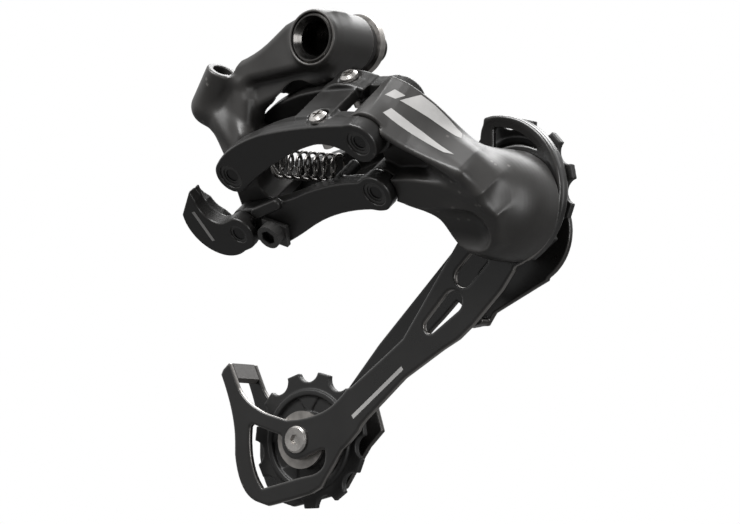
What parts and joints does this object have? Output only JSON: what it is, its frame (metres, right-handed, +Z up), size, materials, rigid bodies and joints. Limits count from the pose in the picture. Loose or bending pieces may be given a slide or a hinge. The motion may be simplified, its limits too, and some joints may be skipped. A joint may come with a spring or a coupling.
{
  "type": "rear bicycle derailleur",
  "caption": "Long-cage rear derailleur: hanger bolt, slanted parallelogram linkage with return spring, domed knuckle and swinging two-pulley chain cage.",
  "frame": {"origin": "hanger bolt axis at the hanger contact face", "axes": "+X forward on the bicycle, +Y inboard along the hanger bolt, +Z up"},
  "size_m": [0.132, 0.0612, 0.1545],
  "materials": {
    "cast_black": "satin black anodised casting",
    "cage_black": "black painted plate",
    "black_alloy": "black anodised",
    "dark_steel": "blackened steel",
    "bright_steel": "zinc plated",
    "spring_steel": "drawn wire",
    "bronze_bush": "plain bearing",
    "black_plastic": "moulded"
  },
  "bodies": {
    "mount": {"hanger_bolt": "black_alloy", "hanger_washer": "bright_steel", "seal_ring": "black_plastic"},
    "b_knuckle": {"b_knuckle": "cast_black", "b_bushing": "bronze_bush", "pin_upper_rear": "dark_steel", "pin_lower_rear": "dark_steel"},
    "b_screw": {"b_adjust_screw": "bright_steel"},
    "upper_link": {"upper_link": "cast_black", "upper_link_bushes": "bronze_bush"},
    "high_screw": {"limit_screw_high": "bright_steel"},
    "low_screw": {"limit_screw_low": "bright_steel"},
    "lower_link": {"lower_link": "cast_black", "lower_link_bushes": "bronze_bush", "cable_fin": "black_plastic", "clamp_plate": "bright_steel", "clamp_bolt": "dark_steel", "return_spring": "spring_steel"},
    "p_knuckle": {"p_knuckle": "cast_black", "p_bushing": "bronze_bush", "p_seal_ring": "black_plastic", "cage_spring": "spring_steel", "cage_stop_pin": "bright_steel", "pin_upper_front": "dark_steel", "pin_lower_front": "dark_steel"},
    "cage": {"cage_shaft": "bright_steel", "cage_outer_plate": "cage_black", "cage_inner_plate": "cage_black", "cage_tie": "cage_black", "pulley_bolts": "bright_steel", "pulley_sleeves": "bronze_bush", "dust_caps": "dark_steel"},
    "guide_pulley": {"guide_pulley": "black_plastic"},
    "tension_pulley": {"tension_pulley": "black_plastic"}
  },
  "joints": [
    {"name": "hanger_swing", "type": "hinge", "parent": "mount", "child": "b_knuckle", "pos_m": [0, 0, 0], "axis": [0, 1, 0], "range_deg": [0, 35]},
    {"name": "angle_screw_turn", "type": "hinge", "parent": "b_knuckle", "child": "b_screw", "pos_m": [-0.0224, -0.0062, -0.013], "axis": [1, 0, 0], "continuous": true},
    {"name": "upper_link_swing", "type": "hinge", "parent": "b_knuckle", "child": "upper_link", "pos_m": [-0.02963, -0.01531, -0.03285], "axis": [0.1, 0.7806, 0.617], "range_deg": [0, 40], "stiffness_Nm_per_rad": 3, "springref_deg": -17.19},
    {"name": "high_screw_turn", "type": "hinge", "parent": "upper_link", "child": "high_screw", "pos_m": [0.01157, -0.03383, -0.03148], "axis": [-0.0465, 0.6231, -0.7807], "continuous": true},
    {"name": "low_screw_turn", "type": "hinge", "parent": "upper_link", "child": "low_screw", "pos_m": [0.01312, -0.01988, -0.01795], "axis": [-0.0465, 0.6231, -0.7807], "continuous": true},
    {"name": "lower_link_swing", "type": "hinge", "parent": "b_knuckle", "child": "lower_link", "pos_m": [-0.03205, -0.00368, -0.04716], "axis": [0.1, 0.7806, 0.617], "range_deg": [0, 40], "deforming": ["return_spring"]},
    {"name": "knuckle_swing", "type": "hinge", "parent": "upper_link", "child": "p_knuckle", "pos_m": [0.02891, -0.02722, -0.02726], "axis": [0.1, 0.7806, 0.617], "range_deg": [-40, 0]},
    {"name": "cage_swing", "type": "hinge", "parent": "p_knuckle", "child": "cage", "pos_m": [0.057, 0, -0.0537], "axis": [0, -1, 0], "range_deg": [0, 115], "stiffness_Nm_per_rad": 0.5, "springref_deg": -34.38, "deforming": ["cage_spring"]},
    {"name": "guide_pulley_spin", "type": "hinge", "parent": "cage", "child": "guide_pulley", "pos_m": [0.0526, 0.01, -0.0475], "axis": [0, 1, 0], "continuous": true},
    {"name": "tension_pulley_spin", "type": "hinge", "parent": "cage", "child": "tension_pulley", "pos_m": [-0.027, 0.01, -0.123], "axis": [0, 1, 0], "continuous": true}
  ],
  "couplings": [
    {"joint": "lower_link_swing", "follows": "upper_link_swing", "ratio": 1},
    {"joint": "knuckle_swing", "follows": "upper_link_swing", "ratio": -1}
  ]
}
